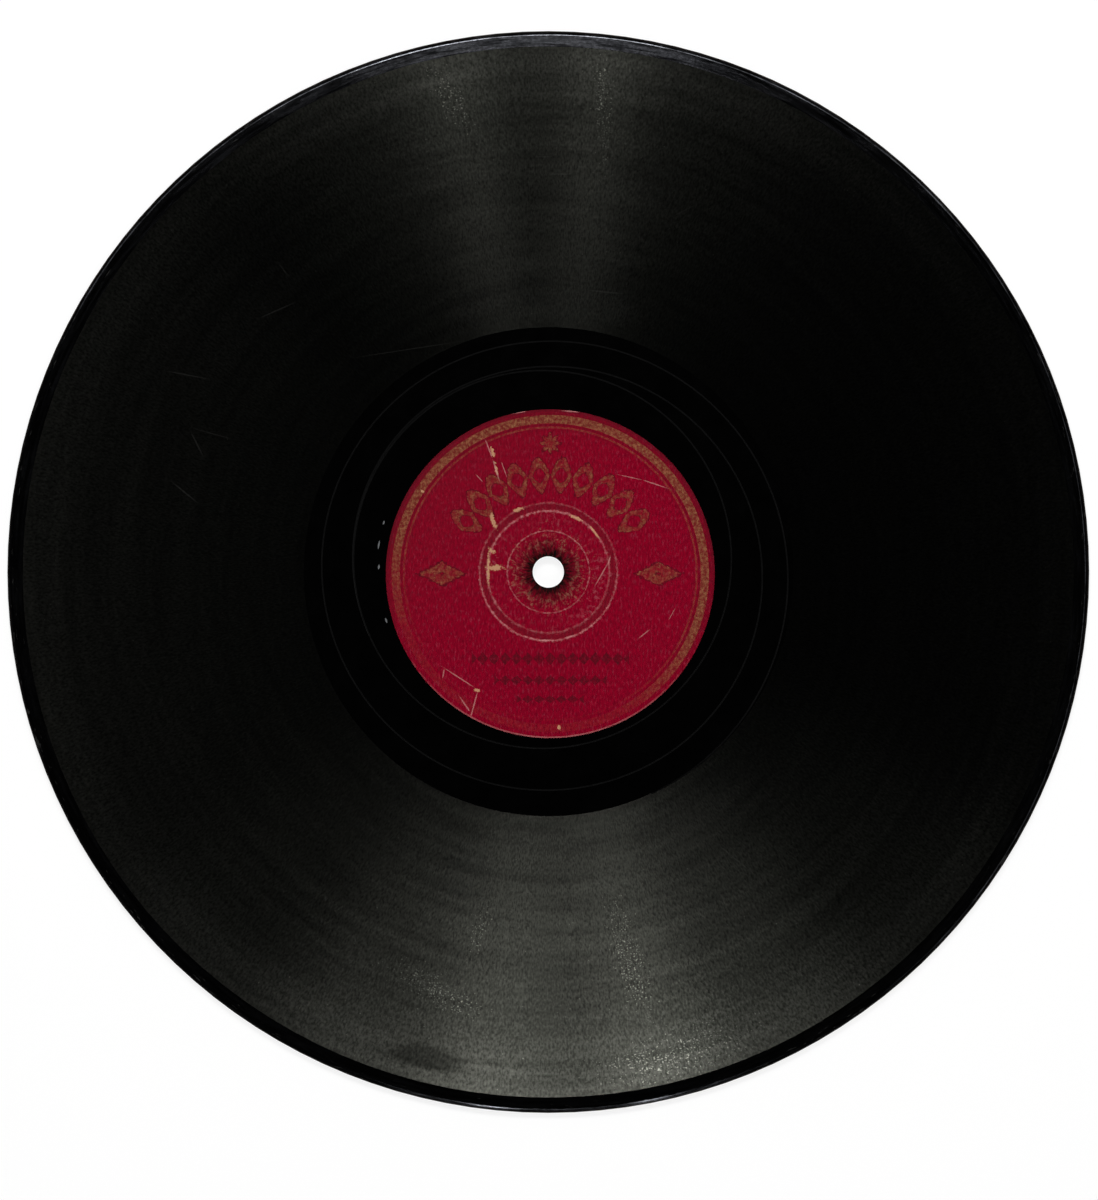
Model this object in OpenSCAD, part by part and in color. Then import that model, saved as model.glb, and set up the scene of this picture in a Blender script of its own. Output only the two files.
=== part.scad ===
// A laminated shellac disc record, ten inches across, lying flat with side A up.
// A coarse core lies between two sheets of paper. A fine shellac face is moulded over each sheet,
// and a paper label is pressed into the middle of each face. The spindle hole runs through all of them.
// The disc's axis is Z, and the playing surface of side B lies on z = 0.

/* [Disc] */
// Outside diameter of the disc
disc_d = 250; // [240:1:300]
// Thickness of the disc over both playing surfaces
disc_t = 2.2; // [2:0.1:3]
// Diameter of the spindle hole
hole_d = 7.24; // [7.1:0.02:8]
// Radius of the half-round rim
rim_r = 0.8; // [0.6:0.05:0.95]

/* [Layers] */
// Thickness of each playing face
face_t = 0.45; // [0.35:0.05:0.6]
// Thickness of each sheet of paper under a playing face
ply_t = 0.12; // [0.08:0.01:0.2]

/* [Grooves] */
// Width of the smooth margin, which falls away from the grooves to the rim
margin_w = 3.6; // [2.5:0.1:8]
// Distance from one turn of the groove to the next
groove_pitch = 0.27; // [0.25:0.01:0.4]
// Width of the groove at the surface
groove_w = 0.15; // [0.1:0.01:0.2]
// Depth of the groove
groove_depth = 0.065; // [0.04:0.005:0.08]
// Diameter that the recorded turns reach inwards
recorded_d = 113; // [104:1:140]

/* [Run-out] */
// Turns of the lead-out, always a whole number and a half
lead_out_turns = 1.5; // [0.5:1:2.5]
// Diameter of the stop ring, in which the needle ends
stop_ring_d = 87.3; // [84:0.1:90]
// Distance of the stop ring's centre from the disc's axis
stop_ring_offset = 3.2; // [0.5:0.1:3.5]
// Direction of the stop ring's centre, in degrees from +X
stop_ring_angle = 115; // [0:5:355]
// Width of the lead-out and of the stop ring at the surface
run_out_w = 0.25; // [0.15:0.01:0.4]
// Depth of the lead-out and of the stop ring
run_out_depth = 0.1; // [0.05:0.01:0.15]
// Land kept between the lead-out's two ends and the turns that they lead from and to
run_out_land = 0.5; // [0.4:0.05:1]

/* [Label] */
// Diameter of each label
label_d = 76; // [70:0.5:79]
// Thickness of the label's paper
label_t = 0.12; // [0.08:0.01:0.2]
// Depth of the label's face below the playing surface
label_sink = 0.08; // [0.07:0.01:0.12]
// Clearance round the label in its recess
label_gap = 0.05; // [0.02:0.01:0.2]

/* [Press marks in the label] */
// Diameter of the bead round the spindle hole
bead_d = 19; // [14:0.5:24]
// Width of the bead
bead_w = 0.6; // [0.4:0.1:1]
// Height of the bead
bead_h = 0.05; // [0.02:0.01:0.07]
// Diameter of the channel round the bead, at the middle of its floor
channel_d = 30; // [27:0.5:50]
// Width of the channel's floor
channel_w = 1.2; // [0.8:0.1:2]
// Width of each sloping side of the channel
channel_flank = 0.2; // [0.1:0.05:0.5]
// Depth of the channel
channel_depth = 0.1; // [0.05:0.01:0.12]

/* [Hidden] */
$fn = 180;
shellac_colour = "#1a1a1c";
core_colour = "#332e2b";
ply_colour = "#6b543c";
label_colour = "#7a0c22";

hole_r = hole_d / 2;
disc_r = disc_d / 2;
mid_z = disc_t / 2;

// The rim is a half circle about this point, and each margin falls to its top
rim_centre_r = disc_r - rim_r;
margin_r = disc_r - margin_w;
margin_slope = (mid_z - rim_r) / (rim_centre_r - margin_r);
past_rim_r = disc_r + rim_r;

// Levels of side A, from the playing surface down
face_z = disc_t - face_t;
ply_z = face_z - ply_t;
label_top_z = disc_t - label_sink;
seat_z = label_top_z - label_t;
label_r = label_d / 2;
recess_r = label_r + label_gap;

// The recorded turns, from the first one inwards
first_turn_r = margin_r - groove_pitch;
turns = 1 + floor((first_turn_r - recorded_d / 2) / groove_pitch);
last_turn_r = first_turn_r - (turns - 1) * groove_pitch;

// The lead-out narrows by one step with each half turn, down to the stop ring's furthest point
half_turns = round(2 * lead_out_turns);
lead_out_start_r = last_turn_r - run_out_land;
lead_out_end_r = stop_ring_d / 2 + stop_ring_offset + run_out_land;
lead_out_step = (lead_out_start_r - lead_out_end_r) / half_turns;

function reversed(points) = [for (i = [len(points) - 1:-1:0]) points[i]];

// Half-section of a surface at height z with the bead and the channel that the press leaves in it
function pressed_line(z) = [
    [hole_r, z],
    [(bead_d - bead_w) / 2, z],
    [bead_d / 2, z + bead_h],
    [(bead_d + bead_w) / 2, z],
    [(channel_d - channel_w) / 2 - channel_flank, z],
    [(channel_d - channel_w) / 2, z - channel_depth],
    [(channel_d + channel_w) / 2, z - channel_depth],
    [(channel_d + channel_w) / 2 + channel_flank, z]
];

// Half-section of the recorded turns, from the outside in. The one spiral of a real disc is drawn
// as closed rings at its own pitch, width and depth.
function turn_line() = [
    for (turn = [0:turns - 1])
        let (r = first_turn_r - turn * groove_pitch)
        each [[r + groove_w / 2, disc_t], [r, disc_t - groove_depth], [r - groove_w / 2, disc_t]]
];

// What the margins and the rim leave of a layer, as a half-section
module edge_section() {
    apex = margin_slope * margin_r;
    polygon([
        [0, -apex],
        [rim_centre_r, mid_z - rim_r],
        [rim_centre_r, mid_z + rim_r],
        [0, disc_t + apex]
    ]);
    translate([rim_centre_r, mid_z])
        circle(r = rim_r);
}

// A flat layer of the disc between two heights
module layer(low_z, high_z) {
    rotate_extrude()
        intersection() {
            edge_section();
            translate([hole_r, low_z])
                square([past_rim_r - hole_r, high_z - low_z]);
        }
}

// The V of a run-out groove at radius r, as a half-section that reaches past the surface
module run_out_section(r) {
    polygon([
        [r, disc_t - run_out_depth],
        [r + run_out_w, disc_t + run_out_depth],
        [r - run_out_w, disc_t + run_out_depth]
    ]);
}

// The ring off the disc's centre that swings the tone arm when the side has ended
module stop_ring() {
    rotate([0, 0, stop_ring_angle])
        translate([stop_ring_offset, 0, 0])
            rotate_extrude()
                run_out_section(stop_ring_d / 2);
}

// A spiral of half circles, each half a step nearer the axis than the one before. Their centres lie
// on the line through the stop ring's centre, so that each runs on smoothly into the next.
module lead_out() {
    for (half_turn = [0:half_turns - 1])
        rotate([0, 0, stop_ring_angle + 180 * (half_turns - half_turn)])
            translate([lead_out_step / 2, 0, 0])
                rotate_extrude(angle = 180)
                    run_out_section(lead_out_start_r - (half_turn + 0.5) * lead_out_step);
}

module playing_face() {
    color(shellac_colour)
        difference() {
            rotate_extrude()
                intersection() {
                    edge_section();
                    polygon(concat(
                        [[hole_r, face_z], [past_rim_r, face_z], [past_rim_r, disc_t]],
                        turn_line(),
                        [[recess_r, disc_t], [recess_r, seat_z]],
                        reversed(pressed_line(seat_z))
                    ));
                }
            stop_ring();
            lead_out();
        }
}

module label() {
    color(label_colour)
        rotate_extrude()
            polygon(concat(
                pressed_line(seat_z),
                [[label_r, seat_z], [label_r, label_top_z]],
                reversed(pressed_line(label_top_z))
            ));
}

module paper_ply() {
    color(ply_colour)
        layer(ply_z, face_z);
}

module core() {
    color(core_colour)
        layer(disc_t - ply_z, ply_z);
}

// Turns a piece of side A over to side B
module side_b() {
    translate([0, 0, disc_t])
        rotate([180, 0, 0])
            children();
}

label();  // label_a
playing_face();  // playing_face_a
paper_ply();  // paper_ply_a
core();
side_b() paper_ply();  // paper_ply_b
side_b() playing_face();  // playing_face_b
side_b() label();  // label_b
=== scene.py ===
"""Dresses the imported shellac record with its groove, printed labels, worn finishes and a studio stage.

Every mesh is worked out in millimetres round the disc's axis with side A up, then brought to metres.
Side B is side A turned over about the X axis.
"""

import math
from functools import partial
from types import SimpleNamespace

import bpy
import numpy as np
from bpy.props import FloatProperty, FloatVectorProperty, PointerProperty
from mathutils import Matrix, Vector


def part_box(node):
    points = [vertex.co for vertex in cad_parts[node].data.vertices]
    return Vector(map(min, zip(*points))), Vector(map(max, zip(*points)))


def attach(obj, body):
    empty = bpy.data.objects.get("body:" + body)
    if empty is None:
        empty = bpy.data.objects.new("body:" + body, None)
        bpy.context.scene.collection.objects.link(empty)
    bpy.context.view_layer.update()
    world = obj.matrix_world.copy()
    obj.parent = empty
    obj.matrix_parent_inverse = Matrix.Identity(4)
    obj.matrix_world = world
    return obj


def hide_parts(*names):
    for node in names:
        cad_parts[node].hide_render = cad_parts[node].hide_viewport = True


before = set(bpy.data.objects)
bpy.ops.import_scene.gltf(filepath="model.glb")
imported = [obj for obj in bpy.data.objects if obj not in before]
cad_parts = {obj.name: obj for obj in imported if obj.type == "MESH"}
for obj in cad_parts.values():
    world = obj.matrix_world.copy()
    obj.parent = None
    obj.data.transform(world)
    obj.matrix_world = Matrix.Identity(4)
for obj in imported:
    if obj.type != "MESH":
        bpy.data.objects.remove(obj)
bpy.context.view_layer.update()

bl_info = {
    "name": "Shellac record",
    "version": (1, 0, 0),
    "blender": (4, 5, 0),
    "location": "3D View > Sidebar > Record",
    "description": "Dresses a laminated shellac record and sets it on a studio stage",
    "category": "Object",
}

MM = 0.001

# Steps in one turn of the groove, steps of the rim for each of those, and steps in one turn of the label
SEGMENTS = 120
RIM_SPLIT = 3
LABEL_SEGMENTS = 240

# The finishes of a playing face, in the order of its materials
GROOVE, SMOOTH, MARGIN = range(3)

# In turns: how fast the groove fades in at the margin, joins the lead-out and widens into it, where it
# begins to fade out along the stop ring and where it ends
FADE_IN = 0.06
JOIN = 0.25
WIDEN = 0.1
FADE_OUT_FROM = 0.12
RUN_ON = 0.25

# In millimetres: the groove's width at its tips, and the gap between its inner tip and the stop ring
TIP_W = 0.02
TIP_GAP = 0.16

# The margin's fall as a slope, how far in from the disc's edge it begins to round over, and the power
# by which the round is quicker at its start than at its end
MARGIN_FALL = 0.052
ROUND_FROM = 1.15
ROUND_POWER = 3

# Points across the round and across the straight margin, and the power that draws the round's points
# closer together where it begins
ROUND_STEPS = 12
STRAIGHT_STEPS = 6
ROUND_CLOSER = 1.5

# Rings close to the margin's inner edge, by their distance inside it and outside it
EDGE_GAP = 0.02
MARGIN_STEP = 0.12

# The label's cut edge, by steps in from the edge and up from its seat, and how wide its round is
LABEL_EDGE = ((0.0, 0.0), (0.0, 0.085), (0.025, 0.112))
LABEL_ROUND = 0.09

# The way in which the label was laid off the axis, the radius from which its paper takes that up, and the
# distance over which it does
LABEL_WAY = (0.75, -0.66)
LAID_FROM = 17.0
LAID_OVER = 15.0

# The paper rounds the press marks off: how far it widens the channel, how wide the channel's soft sides
# are, where its lips lie, their height and width, and how wide and deep the hole's edge is worn
CHANNEL_SPREAD = 0.3
CHANNEL_SIDE = 0.35
LIP_OUT = 0.1
LIP_H = 0.012
LIP_W = 0.18
WORN_W = 1.1
WORN_DEPTH = 0.05

# A ring of points on the level seat, this far outside the channel
PRESS_LAND = 0.6

# Edges that turn by more than this are sharp, and a face this close to the surface is land
SHARP_ANGLE = math.radians(30.0)
LAND_WITHIN = 0.001

# Bake map: the radius of the face, the radius and the middles of its underside and its walls, how far the
# walls are opened for their height, and the room round a label that is laid off the axis
FACE_HALF = 0.48
CORNER_HALF = 0.085
UNDER_AT = (0.91, 0.91)
WALL_AT = (0.91, 0.09)
WALL_SPREAD = 3.0
LABEL_ROOM = 1.0

# How far the print and wear of side B are turned against those of side A
SIDE_B_TURN = math.radians(130.0)

# The playing side of a groove is tilted to the axis, less so towards the edge
GROOVE_TILT = math.radians(16.0)
GROOVE_TILT_RISE = math.radians(-6.9)
TILT_RADIUS = 90.0

# Lamps: turn clockwise from +Y and lean from the vertical in degrees, width and height in metres, and
# the share that each gives of the light at which a white card shows white
LAMP_DISTANCE = 2.0
LAMPS = {
    "wide_softbox": (-4.4, 36.0, 3.49, 0.42, 0.118),
    "middle_softbox": (-2.3, 38.0, 1.53, 0.42, 0.277),
    "left_strip": (-11.7, 40.0, 0.27, 0.42, 0.178),
    "right_strip": (6.2, 40.0, 0.27, 0.42, 0.148),
    "side_softbox": (85.3, 40.0, 3.06, 0.42, 0.073),
    "front_left_strip": (185.8, 50.0, 0.054, 0.42, 0.05),
    "front_right_strip": (169.3, 50.0, 0.054, 0.42, 0.047),
    "rim_softbox": (-2.0, 12.5, 0.17, 0.2, 0.0016),
    "left_rim_strip": (-10.0, 12.5, 0.05, 0.2, 0.0016),
    "right_rim_strip": (5.0, 12.5, 0.06, 0.2, 0.0026),
}

# The floor reaches this far each way, in metres, and lies just under the disc
FLOOR_HALF = 3.0
FLOOR_Z = -0.0001

# The picture is taken to be 1098 by 1200 pixels, each this many millimetres on the disc
PICTURE = (1098, 1200)
PIXEL_MM = 0.23097
DISC_CENTRE_PX = (548.3, 572.0)
LENS_MM = 300.0
SENSOR_MM = 36.0

# Marks are given by their two ends and their width in millimetres. Hairlines across the grooves:
HAIRLINES = (
    (-67.7, 58.2, -57.3, 62.8, 0.35),
    (-89.7, 46.7, -77.0, 44.3, 0.35),
    (-82.8, 32.8, -79.3, 25.9, 0.4),
    (-87.4, 21.2, -80.4, 15.5, 0.4),
    (-48.1, 49.0, -18.1, 53.6, 0.25),
    (-83.3, 33.5, -71.4, 30.3, 0.22),
    (-62.7, 71.9, -59.6, 67.6, 0.3),
    (-3.1, 95.9, 0.9, 95.9, 0.4),
    (0.5, 91.9, 4.9, 91.9, 0.4),
    (9.2, 65.1, 17.6, 64.2, 0.5),
    (28.3, 81.9, 33.6, 84.6, 0.3),
    (38.0, -62.0, 49.0, -71.0, 0.25),
)

# A dull smear on the grooves, and loud passages whose walls sparkle
SMEARS = ((-33.6, -110.4, -22.0, -113.2, 6.0),)
LOUD = (
    (21.0, -114.0, 38.5, -108.5, 13.0),
    (15.5, -78.0, 22.5, -101.0, 7.0),
    (-33.0, -92.5, -17.5, -101.0, 8.0),
    (-17.0, -86.0, -15.0, -79.0, 5.0),
    (12.4, 119.0, 13.0, 96.0, 4.0),
    (-25.5, 114.5, -19.5, 104.0, 6.0),
)

# Chips at the rim
CHIPS = (
    (-118.6, -38.4, -117.8, -40.2, 1.2),
    (-120.3, -31.9, -120.1, -32.7, 0.6),
    (105.9, -65.6, 104.8, -67.2, 0.9),
)

# Specks of dust pressed into the land beside the label
SPECKS = (
    (-37.9, 11.7, -38.1, 11.1, 0.4),
    (-39.0, 7.2, -39.3, 5.4, 0.4),
    (-39.1, 1.5, -39.2, 0.8, 0.5),
    (-37.6, -10.8, -37.3, -11.6, 0.45),
)

# Places where the label's face has torn away
TEARS = (
    (-13.6, 1.0, -11.0, 1.0, 1.3),
    (-13.8, 3.6, -13.9, -2.6, 0.7),
    (-13.3, 5.2, -12.6, 4.6, 0.9),
    (-13.2, 13.0, -12.2, 10.4, 1.1),
    (-7.8, 14.2, -6.2, 14.6, 0.8),
    (-13.2, 28.6, -12.6, 27.0, 0.8),
    (-12.2, 24.6, -11.8, 22.6, 0.6),
    (5.4, 12.9, 7.6, 12.0, 0.8),
    (9.6, 10.6, 11.6, 8.0, 0.5),
    (-16.8, -27.2, -16.2, -27.4, 0.9),
    (2.3, -35.6, 2.8, -36.2, 0.7),
    (-29.2, 18.7, -28.8, 18.4, 0.6),
)

# Scratches in the label
SCRATCHES = (
    (-24.0, -22.2, -17.2, -26.6, 0.3),
    (-24.0, -22.2, -24.4, -24.6, 0.3),
    (-16.3, -27.5, -17.9, -33.4, 0.35),
    (-20.5, -28.8, -18.0, -32.4, 0.35),
    (16.1, 22.5, 22.0, 21.2, 0.22),
    (22.0, 21.2, 27.4, 19.4, 0.3),
    (14.0, 2.4, 10.8, -3.2, 0.3),
    (14.3, 3.6, 13.8, 1.6, 0.4),
    (29.3, -8.4, 27.8, -11.1, 0.2),
    (23.5, -13.2, 20.9, -15.3, 0.25),
    (-14.4, 30.2, -12.9, 26.2, 0.35),
    (-12.9, 26.2, -11.2, 20.8, 0.35),
    (-10.9, 25.6, -9.6, 22.0, 0.25),
    (-16.6, 22.4, -15.2, 20.9, 0.25),
    (-2.2, -15.8, 0.6, -15.75, 0.4),
    (3.9, -15.2, 5.9, -14.7, 0.35),
    (3.2, 37.25, 7.7, 36.95, 0.4),
    (-8.2, 36.6, -5.1, 37.15, 0.35),
)

# The label's ornament: half the leaves in a full ring, their height and the arch's radius, the rosette's
# height, radius and petals, the lozenges' place and half height, and how far in a motif is hollow
LEAVES = 14.0
LEAF_H = 4.3
ARCH_R = 22.8
ROSE_Y = 30.1
ROSE_R = 2.1
ROSE_PETALS = 8.0
LOZENGE_X = 25.0
LOZENGE_H = 2.9
HOLLOW = 2.6

# Rows of small lozenges, by height, half length and half height, and their pitch
PRINT_ROWS = ((-19.6, 18.2, 1.5), (-24.6, 13.0, 1.15), (-29.0, 7.8, 0.95))
ROW_PITCH = 2.6

# Bronze rings of the border by radius, half width and strength, and dark lines along them by radius and
# strength
BRONZE_RINGS = ((33.8, 0.22, 0.45), (35.7, 0.95, 1.0))
BORDER_LINES = ((33.25, 0.3), (34.4, 0.6), (36.9, 0.6))

# Pale lines on the press marks, worn by rubbing and also a painted highlight strongest where each faces
# the lamps: by radius, half width, the direction in which each is strongest, and its least and greatest
# strength
WORN_AND_HIGHLIGHT_LINES = (
    (9.5, 0.18, (0.0, 1.0, 0.0), 0.9, 1.2),
    (14.1, 0.3, (-0.5, 0.87, 0.0), 0.6, 1.3),
    (15.9, 0.26, (-0.1, -0.99, 0.0), 0.55, 1.3),
)


def linear(colour):
    """A colour written as sRGB hex, such as #76051e, as linear red, green, blue and alpha."""
    values = [int(colour[i : i + 2], 16) / 255 for i in (1, 3, 5)]
    return tuple(v / 12.92 if v <= 0.04045 else ((v + 0.055) / 1.055) ** 2.4 for v in values) + (1.0,)


def length(name, description, millimetres):
    """A size that a user may change."""
    return FloatProperty(
        name=name, description=description, default=millimetres * MM, unit="LENGTH", precision=5
    )


def tint(name, description, colour):
    """A colour that a user may change."""
    return FloatVectorProperty(
        name=name, description=description, default=linear(colour), size=4, min=0, max=1, subtype="COLOR"
    )


def span(node, axis):
    """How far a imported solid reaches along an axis, in millimetres."""
    low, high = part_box(node)
    return (high[axis] - low[axis]) / MM


class RecordSizes(bpy.types.PropertyGroup):
    """Sizes of the disc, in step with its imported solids"""

    disc_d: length("Disc", "Outside diameter of the disc", span("core", 0))
    disc_t: length("Thickness", "Thickness over both playing surfaces", 2.2)
    hole_d: length("Hole", "Diameter of the spindle hole", 7.24)
    rim_r: length("Rim", "Radius of the half-round rim", 0.8)
    face_t: length("Face", "Thickness of each playing face", 0.45)
    margin_w: length("Margin", "Width of the smooth margin", 3.6)
    pitch: length("Pitch", "Distance from one turn of the groove to the next", 0.27)
    groove_w: length("Groove width", "Width of the groove at the surface", 0.15)
    groove_depth: length("Groove depth", "Depth of the groove", 0.065)
    recorded_d: length("Recorded", "Diameter that the recorded turns reach inwards", 113)
    stop_d: length("Stop ring", "Diameter of the stop ring", 87.3)
    stop_offset: length("Stop ring offset", "Distance of the stop ring's centre from the axis", 3.2)
    run_out_w: length("Run-out width", "Width of the lead-out and the stop ring", 0.25)
    run_out_depth: length("Run-out depth", "Depth of the lead-out and the stop ring", 0.1)
    run_out_land: length("Run-out land", "Land at both ends of the lead-out", 0.5)
    label_d: length("Label", "Diameter of each label", span("label_a", 0))
    label_t: length("Label paper", "Thickness of the label's paper", 0.12)
    label_sink: length("Label depth", "Depth of the label below the playing surface", 0.08)
    label_gap: length("Label clearance", "Clearance round the label in its recess", 0.05)
    label_shift: length("Label shift", "How far the label was laid off the axis", 0.6)
    bead_d: length("Bead", "Diameter of the bead round the hole", 19)
    bead_w: length("Bead width", "Width of the bead", 0.6)
    bead_h: length("Bead height", "Height of the bead", 0.05)
    channel_d: length("Channel", "Diameter of the channel round the bead", 30)
    channel_w: length("Channel width", "Width of the channel's floor", 1.2)
    channel_flank: length("Channel side", "Width of each sloping side of the channel", 0.2)
    channel_depth: length("Channel depth", "Depth of the channel", 0.1)
    lead_out_turns: FloatProperty(
        name="Lead-out turns", description="Turns of the lead-out, a whole number and a half", default=1.5
    )
    stop_angle: FloatProperty(
        name="Stop ring direction",
        description="Direction of the stop ring's centre",
        default=math.radians(115),
        subtype="ANGLE",
    )


class RecordColours(bpy.types.PropertyGroup):
    """Colours of the record's materials"""

    shellac: tint("Shellac", "Black shellac compound of the faces", "#020202")
    core: tint("Core", "Coarse stock of the core", "#100e0c")
    ply: tint("Plies", "Paper under the faces, soaked with shellac", "#1d1610")
    label: tint("Label", "Red of the label's stock", "#950123")
    label_deep: tint("Label, deep", "Red of the label in the hollows of its fibres", "#690019")
    print_gold: tint("Gold print", "Bronze print of the border and the ornament", "#946042")
    print_dark: tint("Dark print", "Dark print of the rows and outlines", "#4a0e18")
    bare: tint("Bare paper", "Paper laid bare where the print has torn away", "#c4946f")
    # Worn paper colour, also used for the painted highlights on the press marks and along the label's
    # bottom edge
    rubbed_and_highlight: tint("Rubbed paper", "Print rubbed pale along the press marks", "#b26c6d")
    grime: tint("Grime", "Dirt round the spindle hole", "#0b0806")


def in_millimetres(sizes):
    """The sizes as plain numbers in millimetres, with the levels and radii that follow from them."""
    size = SimpleNamespace(**{name: getattr(sizes, name) / MM for name in RecordSizes.__annotations__})
    size.lead_out_turns = sizes.lead_out_turns
    size.stop_angle = sizes.stop_angle
    size.hole_r = size.hole_d / 2
    size.bead_r = size.bead_d / 2
    size.channel_r = size.channel_d / 2
    size.rim_centre_r = size.disc_d / 2 - size.rim_r
    size.margin_r = size.disc_d / 2 - size.margin_w
    size.face_z = size.disc_t - size.face_t
    size.label_top_z = size.disc_t - size.label_sink
    size.seat_z = size.label_top_z - size.label_t
    size.label_r = size.label_d / 2
    size.recess_r = size.label_r + size.label_gap
    size.first_r = size.margin_r - size.pitch
    size.turns = 1 + math.floor((size.first_r - size.recorded_d / 2) / size.pitch)
    return size


def smooth(t):
    """Rises from 0 to 1 as t does, level at both ends: three times t squared less twice t cubed."""
    t = np.clip(t, 0, 1)
    return t * t * (3 - 2 * t)


def start_angle(size):
    """Where the groove begins, so that its lead-out ends at the stop ring's furthest point."""
    return size.stop_angle - 2 * np.pi * size.lead_out_turns


def stop_radius(size, angle):
    """Distance from the axis to a circle off it: the offset along the ray, and the half chord on it."""
    swing = angle - size.stop_angle
    across = size.stop_offset * np.sin(swing)
    return size.stop_offset * np.cos(swing) + np.sqrt((size.stop_d / 2) ** 2 - across**2)


def groove_path(size):
    """The groove's middle line, from the margin inwards and counter-clockwise seen from above.

    The recorded part is an even spiral, each turn one pitch inside the last. The lead-out is a chain of
    half circles whose centres lie half a step either side of the axis, so that it narrows by one step
    with each half turn. It then runs along the stop ring and fades into it. Returns the angle, the
    radius, the width and the depth at each step.
    """
    turns = size.turns
    lead_turns = turns + size.lead_out_turns
    half_turns = round(2 * size.lead_out_turns)
    turn = np.arange(round((lead_turns + RUN_ON) * SEGMENTS) + 1) / SEGMENTS
    past = turn - turns
    run_on = past - size.lead_out_turns
    angle = start_angle(size) + 2 * np.pi * turn
    recorded = size.first_r + size.pitch * (0.5 - turn)
    lead_start = size.first_r - (turns - 1) * size.pitch - size.run_out_land
    lead_end = size.stop_d / 2 + size.stop_offset + size.run_out_land
    lead_step = (lead_start - lead_end) / half_turns
    half = np.clip(np.floor(2 * past), 0, half_turns - 1)
    swing = np.pi * (2 * past - half)
    circle_r = lead_start - (half + 0.5) * lead_step
    lead = lead_step / 2 * np.cos(swing) + np.sqrt(circle_r**2 - (lead_step / 2 * np.sin(swing)) ** 2)
    lead = lead + (recorded[turns * SEGMENTS] - lead_start) * (1 - smooth(past / JOIN))
    gap = size.run_out_land + (TIP_GAP - size.run_out_land) * smooth(run_on / RUN_ON)
    radius = np.where(past < 0, recorded, np.where(run_on < 0, lead, stop_radius(size, angle) + gap))
    knots = [0, FADE_IN, turns, turns + WIDEN, lead_turns + FADE_OUT_FROM, lead_turns + RUN_ON]
    groove_w, run_w = size.groove_w, size.run_out_w
    groove_depth, run_depth = size.groove_depth, size.run_out_depth
    width = np.interp(turn, knots, [TIP_W, groove_w, groove_w, run_w, run_w, TIP_W])
    depth = np.interp(turn, knots, [0, groove_depth, groove_depth, run_depth, run_depth, 0])
    return angle, radius, width, depth


def polar(angle, radius, height, centre=(0.0, 0.0)):
    """Points at those angles, radii and heights round an upright axis."""
    radius, height, angle = np.broadcast_arrays(radius, height, angle)
    return np.stack([centre[0] + radius * np.cos(angle), centre[1] + radius * np.sin(angle), height], -1)


def strip(outer, inner):
    """Quads between two counter-clockwise rows of points, the first outside or above the second."""
    return np.stack([outer[:-1], outer[1:], inner[1:], inner[:-1]], 1)


def closed(row):
    """A row of points that comes back to its first one."""
    return np.append(row, row[0])


def hoop(outer, inner):
    """Quads between two closed rows of points."""
    return strip(closed(outer), closed(inner))


def fan(fine, coarse, split):
    """Faces from a closed fine row to a closed coarse one inside it, each with several fine steps."""
    fine = closed(fine)
    coarse = closed(coarse)
    starts = np.arange(len(coarse) - 1) * split
    steps = [fine[starts + i] for i in range(split + 1)]
    return np.stack(steps + [coarse[1:], coarse[:-1]], 1)


def press_line(size, base):
    """Half-section that the press leaves under the label, from outside in: a channel, then a bead."""
    channel, bead = size.channel_r, size.bead_r
    floor = size.channel_w / 2
    lip = floor + size.channel_flank
    return [
        (channel + lip + PRESS_LAND, base),
        (channel + lip, base),
        (channel + floor, base - size.channel_depth),
        (channel - floor, base - size.channel_depth),
        (channel - lip, base),
        (bead + size.bead_w / 2, base),
        (bead, base + size.bead_h),
        (bead - size.bead_w / 2, base),
        (size.hole_r, base),
    ]


def label_centre(size):
    """The label lies a little to the right of the axis and below it."""
    return (LABEL_WAY[0] * size.label_shift, LABEL_WAY[1] * size.label_shift)


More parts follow.
